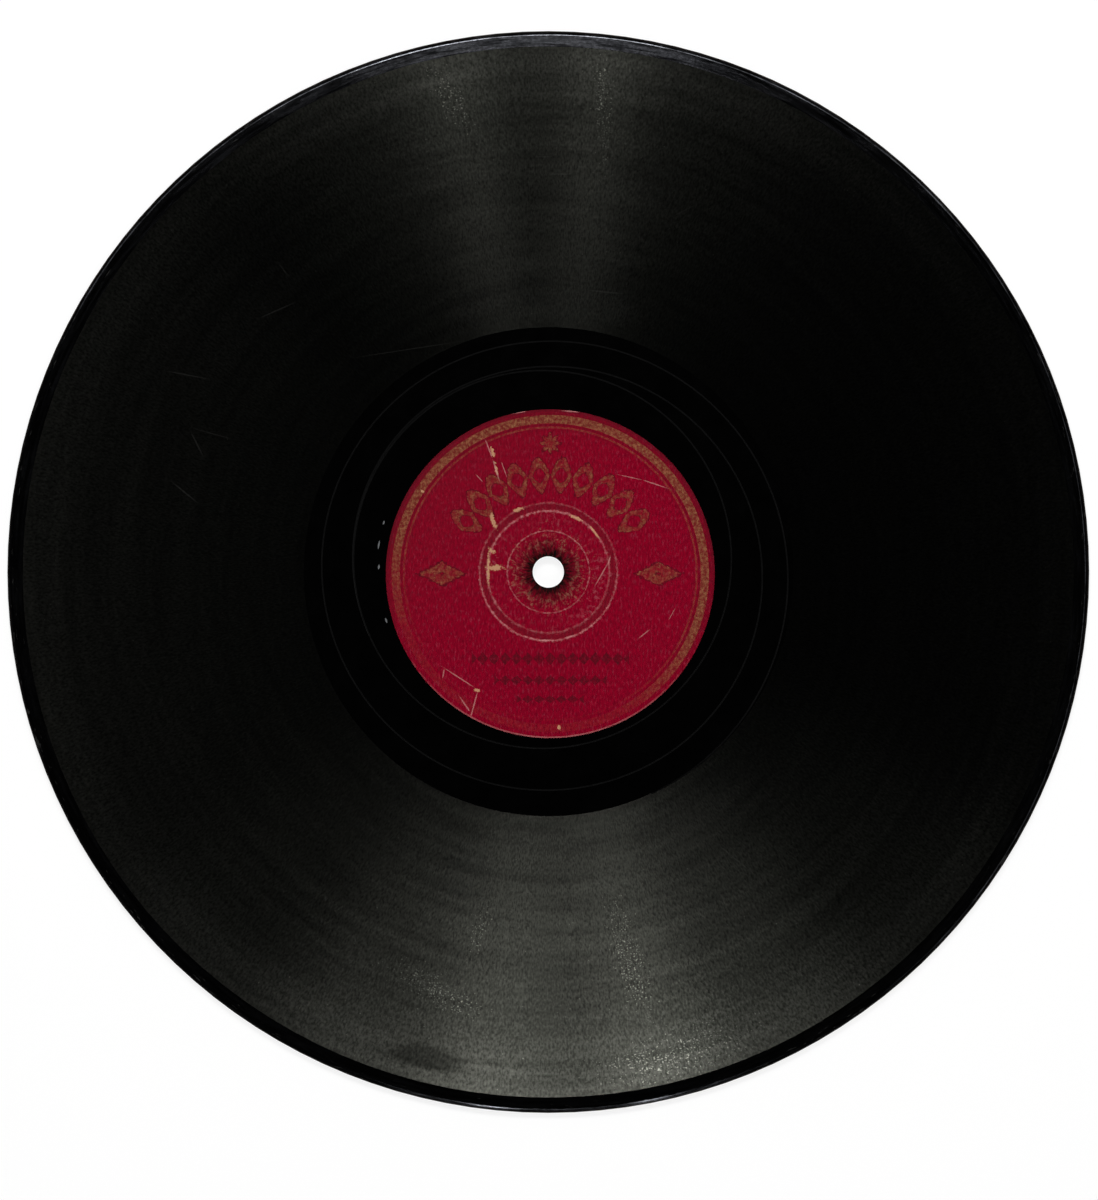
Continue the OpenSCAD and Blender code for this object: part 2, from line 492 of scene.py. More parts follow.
def face_surface(size):
    """One playing face of side A: points, and faces with their finish and their place in the bake map.

    The groove is a V carried along the spiral: outer edge, bottom and inner edge at each step, with the
    land as the strip from each inner edge to the outer edge one turn further in. The rest is rings
    about the axis: the margin falls in a straight line and then rounds over down to the rim of the paper
    ply, with a slope that grows by one less a power of the share of the way still to go, and the section
    goes on under the face, up the bore, and over the label's recess.
    """
    rows = []
    parts = []

    def keep(points):
        first = sum(len(row) for row in rows)
        rows.append(points)
        return np.arange(first, first + len(points))

    def skin(faces, finish, place="top"):
        parts.append((faces, finish, place))

    top = size.disc_t
    angle, radius, width, depth = groove_path(size)
    last = len(angle) - 1
    recorded = size.turns * SEGMENTS
    outer = keep(polar(angle, radius + width / 2, top))
    bottom = keep(polar(angle, radius, top - depth))
    inner = keep(polar(angle, radius - width / 2, top))
    around = angle[:SEGMENTS]
    rim_angle = angle[0] + 2 * np.pi * np.arange(SEGMENTS * RIM_SPLIT) / (SEGMENTS * RIM_SPLIT)
    edge = keep(polar(around, size.margin_r - EDGE_GAP, top))

    # The groove's two walls, and the land between its turns
    for wall in (strip(outer, bottom), strip(bottom, inner)):
        skin(wall[:recorded], GROOVE)
        skin(wall[recorded:], SMOOTH)
    land = strip(inner[: last - SEGMENTS + 1], outer[SEGMENTS:])
    skin(land[: recorded - SEGMENTS], GROOVE)
    skin(land[recorded - SEGMENTS :], SMOOTH)

    # The land outside the first turn, with one face of seven corners round the groove's tip
    skin(strip(edge, outer[:SEGMENTS]), GROOVE)
    tip = [edge[-1], edge[0], outer[0], bottom[0], inner[0], outer[SEGMENTS], outer[SEGMENTS - 1]]
    skin(np.array([tip]), GROOVE)

    # The stop ring, and the land between it and the last turn of the lead-out
    ring_r = stop_radius(size, around)
    ring_out = keep(polar(around, ring_r + size.run_out_w / 2, top))
    ring_low = keep(polar(around, ring_r, top - size.run_out_depth))
    ring_in = keep(polar(around, ring_r - size.run_out_w / 2, top))
    skin(hoop(ring_out, ring_low), SMOOTH)
    skin(hoop(ring_low, ring_in), SMOOTH)
    beside = ring_out[np.arange(last - SEGMENTS, last + 1) % SEGMENTS]
    skin(strip(inner[last - SEGMENTS + 1 :], beside[1:]), SMOOTH)
    tip = [inner[last - SEGMENTS], inner[last - SEGMENTS + 1], beside[1], beside[0]]
    tip += [inner[last], bottom[last], outer[last]]
    skin(np.array([tip]), SMOOTH)

    # The label's recess and its seat, the bore, and the underside
    shift = label_centre(size)
    lip = keep(polar(around, size.recess_r, top, shift))
    inside = keep(polar(around, size.recess_r, size.seat_z, shift))
    skin(hoop(ring_in, lip), SMOOTH)
    skin(hoop(lip, inside), SMOOTH, "wall")
    for r, z in press_line(size, size.seat_z):
        row = keep(polar(around, r, z))
        skin(hoop(inside, row), SMOOTH)
        inside = row
    bore = keep(polar(around, size.hole_r, size.face_z))
    under = keep(polar(around, size.margin_r, size.face_z))
    skin(hoop(inside, bore), SMOOTH, "wall")
    skin(hoop(bore, under), SMOOTH, "under")

    # The round of the rim from the underside up, then the margin, which meets it on a tangent
    lowest = math.acos((size.face_z - size.disc_t / 2) / size.rim_r)
    low_r = size.rim_centre_r + size.rim_r * math.sin(lowest)
    bend_r = size.disc_d / 2 - ROUND_FROM
    round_r = bend_r + (low_r - bend_r) * np.linspace(1, 0, ROUND_STEPS)[:-1] ** ROUND_CLOSER
    straight_r = np.linspace(bend_r, size.margin_r, STRAIGHT_STEPS)[:-1]
    section_r = np.concatenate([round_r, straight_r, [size.margin_r + MARGIN_STEP, size.margin_r]])
    still = 1 - np.maximum(section_r - bend_r, 0) / (low_r - bend_r)
    power = ROUND_POWER + 1
    bent = (power * (1 - still) - (1 - still**power)) / ROUND_POWER
    round_fall = top - size.face_z - MARGIN_FALL * (low_r - size.margin_r)
    section_z = top - MARGIN_FALL * (section_r - size.margin_r) - round_fall * bent
    rim = [keep(polar(rim_angle, r, z)) for r, z in zip(section_r, section_z)]
    skin(fan(rim[0], under, RIM_SPLIT)[:, ::-1], SMOOTH, "under")
    for pair in zip(rim, rim[1:]):
        skin(hoop(*pair), MARGIN)
    skin(fan(rim[-1], edge, RIM_SPLIT), MARGIN)
    return np.concatenate(rows), parts


def label_height(size, r):
    """Height of the label's face: level, with a round bead, a channel with lips, and a worn hole.

    The bead is a squared cosine. The channel's sides and the worn hole are smooth steps, and each lip is
    a bell curve.
    """
    bead = size.bead_h * np.cos(np.clip((r - size.bead_r) / size.bead_w, -0.5, 0.5) * np.pi) ** 2
    off = np.abs(r - size.channel_r)
    reach = size.channel_w / 2 + CHANNEL_SPREAD
    channel = size.channel_depth * smooth((reach - off) / CHANNEL_SIDE)
    lips = LIP_H * np.exp(-(((off - reach - LIP_OUT) / LIP_W) ** 2))
    worn = WORN_DEPTH * smooth((size.hole_r + WORN_W - r) / WORN_W)
    return size.label_top_z + bead - channel + lips - worn


def label_surface(size):
    """One label of side A: a section carried round the axis, whose outer part is laid a little off it.

    The section goes from the seat over the rounded edge, in over the press marks to the hole, down the
    hole and back under the paper. Its steps are finest on the press marks.
    """
    angle = start_angle(size) + 2 * np.pi * np.arange(LABEL_SEGMENTS) / LABEL_SEGMENTS
    channel, bead, hole = size.channel_r, size.bead_r, size.hole_r
    stretches = (
        (size.label_r - LABEL_ROUND, channel + 1.6, 18),
        (channel + 1.4, channel - 1.4, 29),
        (channel - 2.0, bead + 0.7, 5),
        (bead + 0.4, bead - 0.4, 13),
        (bead - 1.1, hole + 1.58, 5),
        (hole + 1.18, hole, 7),
    )
    over = np.concatenate([np.linspace(*stretch) for stretch in stretches])
    section = [(size.label_r - back, size.seat_z + up) for back, up in LABEL_EDGE]
    section += zip(over, label_height(size, over))
    crest = len(section) - 1
    section += press_line(size, size.seat_z)[::-1]
    shift = np.array(label_centre(size))
    rows = [polar(angle, r, z, shift * smooth((r - LAID_FROM) / LAID_OVER)) for r, z in section]
    ids = [np.arange(len(angle)) + i * len(angle) for i in range(len(rows))]
    parts = []
    for i, pair in enumerate(zip(ids, ids[1:] + ids[:1])):
        place = "wall" if i in (0, crest) else "top" if i < crest else "under"
        parts.append((hoop(*pair), 0, place))
    return np.concatenate(rows), parts


def turn_over(points, height):
    """A half turn about the X axis through the disc's middle, from side A to side B."""
    return points * (1, -1, -1) + (0, 0, height)


def bake_places(points, places, reach, top):
    """Bake map: the face as seen from above, its underside and its upright walls small in two corners.

    Upright walls are opened into flat rings by adding a share of their height to their radius.
    """
    flat = points[:, :2]
    spread = np.linalg.norm(flat, axis=1, keepdims=True)
    opened = flat * (1 + WALL_SPREAD * (points[:, 2:] - top) / spread)
    face = 0.5 + flat * FACE_HALF / reach
    under = UNDER_AT + flat * CORNER_HALF / reach
    wall = WALL_AT + opened * CORNER_HALF / reach
    return np.where(places == "top", face, np.where(places == "under", under, wall))


def piece(name, surface, materials, side, reach, size, grooved=False):
    """Makes a mesh object of a surface of side A, turned over for side B, with shading and a bake map."""
    points, parts = surface
    corners = np.concatenate([faces.ravel() for faces, finish, place in parts])
    counts = np.concatenate([np.full(len(faces), faces.shape[1]) for faces, finish, place in parts])
    finishes = np.concatenate([np.full(len(faces), finish) for faces, finish, place in parts])
    places = np.concatenate([np.full(faces.size, place) for faces, finish, place in parts])
    starts = np.cumsum(counts) - counts
    shown = turn_over(points, size.disc_t) if side == "b" else points
    mesh = bpy.data.meshes.new(name)
    mesh.vertices.add(len(points))
    mesh.vertices.foreach_set("co", (shown * MM).astype(np.float32).ravel())
    mesh.loops.add(len(corners))
    mesh.loops.foreach_set("vertex_index", corners.astype(np.int32))
    mesh.polygons.add(len(counts))
    mesh.polygons.foreach_set("loop_start", starts.astype(np.int32))
    mesh.polygons.foreach_set("material_index", finishes.astype(np.int32))
    mesh.update(calc_edges=True)
    if mesh.validate(verbose=True):
        raise RuntimeError(name + " has faulty faces")
    mesh.set_sharp_from_angle(angle=SHARP_ANGLE)
    flat_map = mesh.uv_layers.new(name="OFBake")
    uv = bake_places(points[corners], places[:, None], reach, size.disc_t)
    flat_map.data.foreach_set("uv", uv.astype(np.float32).ravel())
    if grooved:
        lowest = np.minimum.reduceat(points[corners, 2], starts)
        on_land = np.repeat(lowest > size.disc_t - LAND_WITHIN, counts)
        shade_face(mesh, points[corners], np.repeat(finishes, counts) == GROOVE, on_land, side)
    for material in materials:
        mesh.materials.append(material)
    made = bpy.data.objects.new(name, mesh)
    bpy.context.scene.collection.objects.link(made)
    return made


def shade_face(mesh, places, in_groove, on_land, side):
    """Shades the groove as the even surface that the eye sees: level, and leaning a little to the axis.

    One turn of the groove is about one pixel wide, so its own walls would only show as moire. The land
    of the run-out is shaded level right up to its grooves.
    """
    normals = np.zeros(len(mesh.loops) * 3, np.float32)
    mesh.corner_normals.foreach_get("vector", normals)
    normals = normals.reshape(-1, 3)
    radius = np.linalg.norm(places[:, :2], axis=1, keepdims=True)
    lean = GROOVE_TILT + GROOVE_TILT_RISE * (radius / TILT_RADIUS - 1)
    inwards = -places[:, :2] / radius * np.sin(lean)
    leaning = np.concatenate([inwards, np.cos(lean)], 1)
    level = np.array([[0.0, 0.0, 1.0]])
    if side == "b":
        leaning = turn_over(leaning, 0)
        level = turn_over(level, 0)
    normals[on_land] = level
    normals[in_groove] = leaning[in_groove]
    mesh.normals_split_custom_set(normals)


# The setting that a second word in a node's kind gives, as in "Math MULTIPLY"
KIND_SETTING = {
    "Math": "operation",
    "VectorMath": "operation",
    "Mix": "data_type",
    "MapRange": "interpolation_type",
    "Mapping": "vector_type",
}


def put_node(tree, kind, *values, **named):
    """Adds one node and returns its first output.

    Values and sockets go to its inputs in order, or to the input so named. A name in small letters is a
    setting of the node.
    """
    kind, *choice = kind.split()
    node = tree.nodes.new("ShaderNode" + kind)
    for word in choice:
        setattr(node, KIND_SETTING[kind], word)
    for name in filter(str.islower, named):
        setattr(node, name, named[name])
    sockets = [(node.inputs[name], value) for name, value in named.items() if not name.islower()]
    live = [socket for socket in node.inputs if socket.enabled]
    for socket, value in list(zip(live, values)) + sockets:
        if isinstance(value, bpy.types.NodeSocket):
            tree.links.new(value, socket)
        else:
            socket.default_value = value
    return next((socket for socket in node.outputs if socket.enabled), None)


def new_material(name):
    """An empty node material, and the function that puts a node into it."""
    material = bpy.data.materials.new(name)
    material.use_nodes = True
    material.node_tree.nodes.clear()
    return material, partial(put_node, material.node_tree)


def disc_place(put, side, centre=(0.0, 0.0)):
    """The place on a side of the disc in millimetres, seen from that side, and its distance from a centre.

    Side B's print and wear are turned against side A's, because the two sides of a disc are pressed at
    any angle to each other.
    """
    over, turn = (math.pi, SIDE_B_TURN) if side == "b" else (0.0, 0.0)
    turned_x = centre[0] * math.cos(turn) - centre[1] * math.sin(turn)
    turned_y = centre[0] * math.sin(turn) + centre[1] * math.cos(turn)
    here = put("TexCoord").node.outputs["Object"]
    place = put("Mapping", here, (-turned_x, -turned_y, 0), (over, 0, turn), (1000, 1000, 0))
    return place, put("VectorMath LENGTH", place)


def round_noise(put, spot, around, along, **settings):
    """Noise that runs round the axis, read at the direction on a circle with the radius as height."""
    place, radius = spot
    way = put("VectorMath SCALE", put("VectorMath NORMALIZE", place), Scale=around)
    height = put("CombineXYZ", 0.0, 0.0, put("Math MULTIPLY", radius, along))
    return put("TexNoise", put("VectorMath ADD", way, height), **settings)


def nearest_mark(put, place, marks):
    """Least distance to a list of marks, each an ellipse from one end to the other: 1 on its outline."""
    nearest = 100.0
    for x0, y0, x1, y1, width in marks:
        middle = ((x0 + x1) / 2, (y0 + y1) / 2, 0)
        turn = (0, 0, math.atan2(y1 - y0, x1 - x0))
        reach = (math.hypot(x1 - x0, y1 - y0) / 2 + width / 2, width / 2, 1)
        inside = put("Mapping TEXTURE", place, middle, turn, reach)
        nearest = put("Math MINIMUM", put("VectorMath LENGTH", inside), nearest)
    return nearest


def away(put, value, middle):
    """How far a value lies from a middle, either way."""
    return put("Math ABSOLUTE", put("Math SUBTRACT", value, middle))


def times_share(put, value, leader, *ends):
    """A value times a share that follows a leader: two levels of the leader, and the shares at them."""
    return put("Math MULTIPLY", value, put("MapRange", leader, *ends))


def groove_material(side):
    """Black shellac, pressed with a fine groove.

    The V of the groove spreads a highlight across its turns and hardly along them, so the eye gets two
    bright fans towards the lamps and near-black elsewhere. The wiggle of the sound breaks the fans into
    fine grain, with sparkles where it was loud.
    """
    material, put = new_material("shellac_pressed_groove_" + side)
    spot = disc_place(put, side)
    place, radius = spot

    # The groove's pitch of 0.27 mm is one pixel, so its wiggle is drawn coarser, about 0.4 by 0.8 mm
    wiggle = round_noise(put, spot, 90.0, 0.5, Scale=2.6, Detail=2.0)
    loud = round_noise(put, spot, 2.4, 0.42, Scale=1.0, Detail=4.0)
    swing = times_share(put, wiggle, loud, 0.35, 0.7, 0.7, 1.6)
    bump = put("Bump", Height=swing, Strength=1.0, Distance=0.00002)

    # The walls hide less of each other towards the edge, where the groove gives back more of the light
    share = put("Math DIVIDE", radius, TILT_RADIUS)
    bright = put("Math MULTIPLY", put("Math POWER", share, 1.49), 0.29)
    outer = put("MapRange SMOOTHSTEP", radius, 106.0, 117.0, 1.0, 1.5)
    bright = put("Math MULTIPLY", bright, outer)
    bright = times_share(put, bright, wiggle, 0.3, 0.7, 0.5, 1.5)
    bright = times_share(put, bright, loud, 0.3, 0.7, 0.78, 1.22)

    # Sparkles in the loud passages, and a dull smear of wax
    spark = round_noise(put, spot, 90.0, 1.0, Scale=3.0, Detail=0.0)
    near_loud = put("Math MULTIPLY_ADD", loud, 1.6, nearest_mark(put, place, LOUD))
    near_loud = put("MapRange", near_loud, 2.3, 1.2, 0.0, 0.2)
    spark = put("Math ADD", spark, near_loud)
    bright = times_share(put, bright, spark, 0.82, 0.94, 1.0, 4.0)
    smear = put("Math MULTIPLY_ADD", loud, 1.2, nearest_mark(put, place, SMEARS))
    smear = put("MapRange SMOOTHSTEP", smear, 1.9, 1.1, 1.0, 0.45)
    bright = put("Math MULTIPLY", bright, smear)
    bright = put("VectorMath SCALE", linear("#fdffee")[:3], Scale=bright)
    rough = put("Math MULTIPLY", put("Math POWER", share, -0.19), 0.299)

    scratch = put("MapRange", nearest_mark(put, place, HAIRLINES), 1.0, 0.6)
    dust = put("MapRange", wiggle, 0.35, 0.75)
    colour = put("Mix RGBA", dust, linear("#010101"), linear("#030303"))
    colour = put("Mix RGBA", scratch, colour, linear("#161615"))
    finish = put(
        "BsdfPrincipled",
        colour,
        Roughness=rough,
        IOR=1.54,
        Anisotropic=1.0,
        Normal=bump,
        Tangent=put("Tangent", direction_type="RADIAL", axis="Z"),
        **{"Anisotropic Rotation": 0.25, "Specular Tint": bright},
    )
    put("OutputMaterial", finish)
    return material


def smooth_material(colours, side):
    """Black shellac, pressed smooth, of the run-out.

    The eye gets a dark mirror with a little haze, lint and handling marks.
    """
    material, put = new_material("shellac_pressed_smooth_" + side)
    spot = disc_place(put, side)
    place, radius = spot
    haze = put("TexNoise", place, Scale=0.16, Detail=5.0, Roughness=0.6)
    fine = round_noise(put, spot, 4.0, 3.0, Scale=1.0, Detail=4.0)
    rough = put("MapRange", haze, 0.3, 0.7, 0.06, 0.11)
    rough = times_share(put, rough, fine, 0.3, 0.7, 0.9, 1.1)
    speck = put("MapRange", nearest_mark(put, place, SPECKS), 1.0, 0.7)
    colour = put("Mix RGBA", haze, linear("#000000"), colours.shellac)
    colour = put("Mix RGBA", speck, colour, linear("#6a6c6e"))
    bump = put("Bump", Height=fine, Strength=0.5, Distance=0.00002)
    finish = put("BsdfPrincipled", colour, Roughness=rough, IOR=1.54, Normal=bump)
    put("OutputMaterial", finish)
    return material


def margin_material(side):
    """Black shellac, moulded margin and rim.

    The eye gets a polish from handling, with streaks and scuffs round the edge and a few chips.
    """
    material, put = new_material("shellac_moulded_margin_" + side)
    spot = disc_place(put, side)
    place, radius = spot

    # Streaks about 10 mm long and 0.7 mm wide, and scuffs of 3 mm near the rim
    rub = round_noise(put, spot, 12.0, 1.4, Scale=1.0, Detail=4.0, Roughness=0.6)
    scuff = round_noise(put, spot, 40.0, 2.6, Scale=1.0, Detail=2.0)
    scuff = put("Math ADD", scuff, put("MapRange", radius, 122.0, 124.2, -0.1, 0.02))
    scuff = put("MapRange", scuff, 0.64, 0.72)
    rough = put("MapRange", rub, 0.3, 0.7, 0.11, 0.17)
    fine = round_noise(put, spot, 110.0, 1.2, Scale=1.4, Detail=2.0)
    chip = put("Math MULTIPLY_ADD", fine, 2.0, nearest_mark(put, place, CHIPS))
    scuff = put("Math MAXIMUM", put("MapRange", chip, 2.1, 1.6), scuff)
    gloss = put("MapRange", rub, 0.4, 0.6, 0.2, 1.5)
    gloss = times_share(put, gloss, fine, 0.3, 0.7, 0.5, 1.5)
    gloss = times_share(put, gloss, radius, 123.7, 124.0, 1.0, 0.65)
    gloss = put("VectorMath SCALE", linear("#f0f3ff")[:3], Scale=gloss)
    colour = put("Mix RGBA", rub, linear("#010101"), linear("#030303"))
    colour = put("Mix RGBA", scuff, colour, linear("#242423"))
    bump = put("Bump", Height=rub, Strength=0.12, Distance=0.00004)
    shine = {"Specular Tint": gloss}
    finish = put("BsdfPrincipled", colour, Roughness=rough, IOR=1.54, Normal=bump, **shine)
    put("OutputMaterial", finish)
    return material


def label_field(put, size, side):
    """What the label's layers depend on: the place on the paper and from the axis, and its noises.

    Fibres are about 0.4 mm wide and 1.3 mm long, cloudy patches some 8 mm, wear some 2 mm and frayed
    edges some 0.8 mm. The border's print is kept best at the top.
    """
    axis = disc_place(put, side)
    place, r = disc_place(put, side, label_centre(size))
    across = put("SeparateXYZ", place)
    up = across.node.outputs["Y"]
    own = put("VectorMath ADD", place, (3.0, 0.0, 7.0) if side == "b" else (0.0, 0.0, 0.0))
    strands = put("Mapping", own, (0, 0, 0), (0, 0, 0), (2.4, 0.75, 1))
    wear = put("TexNoise", own, Scale=0.55, Detail=6.0, Roughness=0.7)
    fray = put("TexNoise", own, Scale=1.3, Detail=5.0, Roughness=0.7)
    kept = put("Math MULTIPLY_ADD", wear, 26.0, put("Math MULTIPLY_ADD", across, 0.35, up))
    return SimpleNamespace(
        axis=axis,
        axis_place=axis[0],
        axis_r=axis[1],
        place=place,
        r=r,
        across=across,
        up=up,
        strands=strands,
        fibre=put("TexNoise", strands, Scale=1.0, Detail=2.0, Roughness=0.6),
        cloud=put("TexNoise", own, Scale=0.13, Detail=3.0),
        wear=wear,
        fray=fray,
        ragged=put("Math SUBTRACT", fray, 0.5),
        round_wear=round_noise(put, axis, 11.0, 0.5, Scale=1.0, Detail=4.0, Roughness=0.65),
        kept=put("MapRange", kept, -12.0, 10.0, 0.1, 1.0),
    )


def ornament(put, on):
    """How far inside a motif of the print a place lies, in millimetres, with ragged edges.

    An arch of leaves stands over the hole, each as high as a sine of the angle. A rosette lies above it,
    as wide as a cosine of its own angle, and two lozenges lie at the sides.
    """
    angle = put("Math ARCTAN2", on.up, on.across)
    leaf = put("Math SINE", put("Math MULTIPLY", angle, LEAVES))
    leaf = put("Math MULTIPLY", put("Math ABSOLUTE", leaf), LEAF_H)
    leaf = put("Math SUBTRACT", leaf, away(put, on.r, ARCH_R))
    in_arch = put("Math COMPARE", angle, math.pi / 2, 5 * math.pi / LEAVES)
    leaf = put("Math SUBTRACT", put("Math MULTIPLY_ADD", in_arch, 9.0, leaf), 9.0)
    rose_at = put("VectorMath ADD", on.place, (0, -ROSE_Y, 0))
    rose_x = put("SeparateXYZ", rose_at)
    rose = put("Math ARCTAN2", rose_x.node.outputs["Y"], rose_x)
    rose = put("Math COSINE", put("Math MULTIPLY", rose, ROSE_PETALS))
    rose = put("Math MULTIPLY_ADD", rose, 0.5, ROSE_R)
    rose = put("Math SUBTRACT", rose, put("VectorMath LENGTH", rose_at))
    side_x = put("Math MULTIPLY", away(put, put("Math ABSOLUTE", on.across), LOZENGE_X), 0.5)
    lozenge = put("Math ADD", side_x, put("Math ABSOLUTE", on.up))
    lozenge = put("Math SUBTRACT", LOZENGE_H, lozenge)
    motif = put("Math MAXIMUM", leaf, put("Math MAXIMUM", rose, lozenge))
    return put("Math MULTIPLY_ADD", on.ragged, 2.4, motif)


def stock_layers(put, on):
    """Single pale fibres, and painted shade: a darker, greyer red towards the upper left.

    Like the functions after it, this returns layers from the lowest up, each a mask and its colour.
    """
    pale = put("VectorMath ADD", on.strands, (9.0, 4.0, 0.0))
    pale = put("TexNoise", pale, Scale=0.9, Detail=3.0, Roughness=0.7)
    pale = put("MapRange", pale, 0.54, 0.78, 0.0, 0.4)
    # Painted shade: the red darkens and greys towards the upper left, broken up by cloudy noise
    painted_shade = put("Math MULTIPLY", put("Math SUBTRACT", on.across, on.up), 0.7)
    painted_shade = put("Math MULTIPLY_ADD", on.cloud, -30.0, painted_shade)
    painted_shade = put("MapRange", painted_shade, -18.0, -50.0, 0.0, 0.3)
    return [(pale, linear("#ab4a60")), (painted_shade, linear("#6a141e"))]


def bronze_layers(put, colours, on, motif):
    """Bronze print of the border's rings and of the motifs, which are hollow, worn through in places."""
    border = 0.0
    for ring_r, half, strength in BRONZE_RINGS:
        ring = put("Math MULTIPLY", put("Math COMPARE", on.r, ring_r, half), strength)
        border = put("Math MAXIMUM", ring, border)
    border = put("Math MULTIPLY", border, on.kept)
    filled = put("Math GREATER_THAN", motif, 0.3)
    filled = put("Math SUBTRACT", filled, put("Math GREATER_THAN", motif, HOLLOW))
    filled = times_share(put, filled, on.wear, 0.4, 0.6, 0.15, 0.9)
    gold = put("Math MAXIMUM", border, filled)
    gold = times_share(put, gold, on.fibre, 0.3, 0.62, 0.4, 1.0)
    gold = times_share(put, gold, on.fray, 0.3, 0.56, 0.4, 1.0)
    bronze = put("MapRange", on.fray, 0.4, 0.62)
    return [(gold, put("Mix RGBA", bronze, linear("#54301e"), colours.print_gold))]


def dark_layers(put, colours, on, motif):
    """Dark print of the outlines of the border and of the motifs, and of the rows of small lozenges."""
    dark = put("Math COMPARE", motif, HOLLOW, 0.14)
    dark = put("Math MAXIMUM", put("Math COMPARE", motif, 0.14, 0.22), dark)
    for line_r, strength in BORDER_LINES:
        line = put("MapRange", away(put, on.r, line_r), 0.35, 0.1, 0.0, strength)
        dark = put("Math MAXIMUM", dark, put("Math MULTIPLY", line, on.kept))
    step = put("Math PINGPONG", on.across, ROW_PITCH / 2)
    for line_y, half_length, half in PRINT_ROWS:
        row = put("Math MULTIPLY_ADD", away(put, on.up, line_y), ROW_PITCH / 2 / half, step)
        row = put("Math LESS_THAN", row, ROW_PITCH / 2)
        ends = put("Math COMPARE", on.across, 0.0, half_length)
        dark = put("Math MAXIMUM", dark, put("Math MULTIPLY", row, ends))
    dark = times_share(put, dark, on.fray, 0.34, 0.6, 0.25, 0.85)
    return [(dark, colours.print_dark)]


def press_layers(put, colours, size, on):
    """Painted shade in the channel, pale lines on the bead and the channel's lips, and scuffs round them.

    The pale lines are worn by rubbing and are also a painted highlight, strongest where a mark faces the
    lamps.
    """
    # Painted shade: the channel's floor is darkened all round
    channel = put("Math COMPARE", on.axis_r, size.channel_r, size.channel_w / 2)
    channel = put("Math MULTIPLY", channel, 0.3)
    way = put("VectorMath NORMALIZE", on.axis_place)
    # Pale lines: worn by rubbing, and a painted highlight strongest where each mark faces the lamps
    rubbed_and_highlight = 0.0
    for line_r, half, strong_way, least, most in WORN_AND_HIGHLIGHT_LINES:
        line = put("Math MULTIPLY_ADD", on.fray, -6.0 * half, away(put, on.axis_r, line_r))
        line = put("MapRange", line, half * -1.8, half * -3.5)
        strong = put("VectorMath DOT_PRODUCT", way, strong_way)
        line = times_share(put, line, strong, -0.6, 0.9, least, most)
        rubbed_and_highlight = put("Math MAXIMUM", line, rubbed_and_highlight)
    rubbed_and_highlight = times_share(put, rubbed_and_highlight, on.round_wear, 0.38, 0.56, 0.4, 1.0)
    scuff = put("Math MULTIPLY_ADD", on.fray, 0.8, on.round_wear)
    scuff = put("Math MULTIPLY_ADD", away(put, on.axis_r, 12.5), -0.05, scuff)
    scuff = put("MapRange", scuff, 0.9, 1.06, 0.0, 0.6)
    scuff = times_share(put, scuff, on.cloud, 0.42, 0.58, 0.1, 1.0)
    return [(channel, linear("#4d1a1e")), (rubbed_and_highlight, colours.rubbed_and_highlight), (scuff, linear("#a4505a"))]


def hole_layers(put, colours, on):
    """Print worn off in specks, and grime worked in round the hole in smudges that run out from it."""
    bald = round_noise(put, on.axis, 14.0, 0.9, Scale=1.4, Detail=4.0, Roughness=0.7)
    bald = put("Math MULTIPLY_ADD", on.wear, 1.2, bald)
    bald = put("Math MULTIPLY_ADD", away(put, on.axis_r, 7.0), -0.05, bald)
    bald = put("MapRange", bald, 1.08, 1.26, 0.0, 0.75)
    smudge = round_noise(put, on.axis, 7.0, 0.4, Scale=1.6, Detail=5.0, Roughness=0.7)
    reach = put("Math MULTIPLY_ADD", smudge, 9.0, on.axis_r)
    reach = put("Math MULTIPLY_ADD", on.wear, 3.0, reach)
    grime = put("Math POWER", put("MapRange", reach, 15.1, 9.9), 1.4)
    return [(bald, linear("#96604f")), (grime, colours.grime)]


def edge_layers(put, colours, on, torn):
    """Painted shade at the top of the edge, tears, scratches, and a painted highlight at its bottom."""
    # Painted shade: the label's edge darkens towards the top
    painted_edge_shade = put("MapRange", on.up, -24.0, 6.0, 0.0, 0.6)
    painted_edge_shade = times_share(put, painted_edge_shade, on.r, 36.9, 37.6, 0.0, 1.0)
    cut = put("Math MULTIPLY_ADD", on.ragged, 2.0, nearest_mark(put, on.axis_place, SCRATCHES))
    cut = put("MapRange", cut, 1.1, 0.6, 0.0, 0.6)
    # Painted highlight: a pale band along the label's edge at the bottom, broken up by wear noise
    pale = put("Math MULTIPLY_ADD", on.wear, -44.0, on.up)
    pale = put("MapRange", pale, -42.0, -64.0, 0.0, 0.68)
    pale = put("Math MULTIPLY", pale, put("Math COMPARE", on.r, 37.85, 0.22))
    # Tears and scratches are wear; the pale band after them is the painted highlight
    worn = [(torn, colours.bare), (cut, linear("#c08480")), (pale, colours.rubbed_and_highlight)]
    return [(painted_edge_shade, colours.print_dark)] + worn


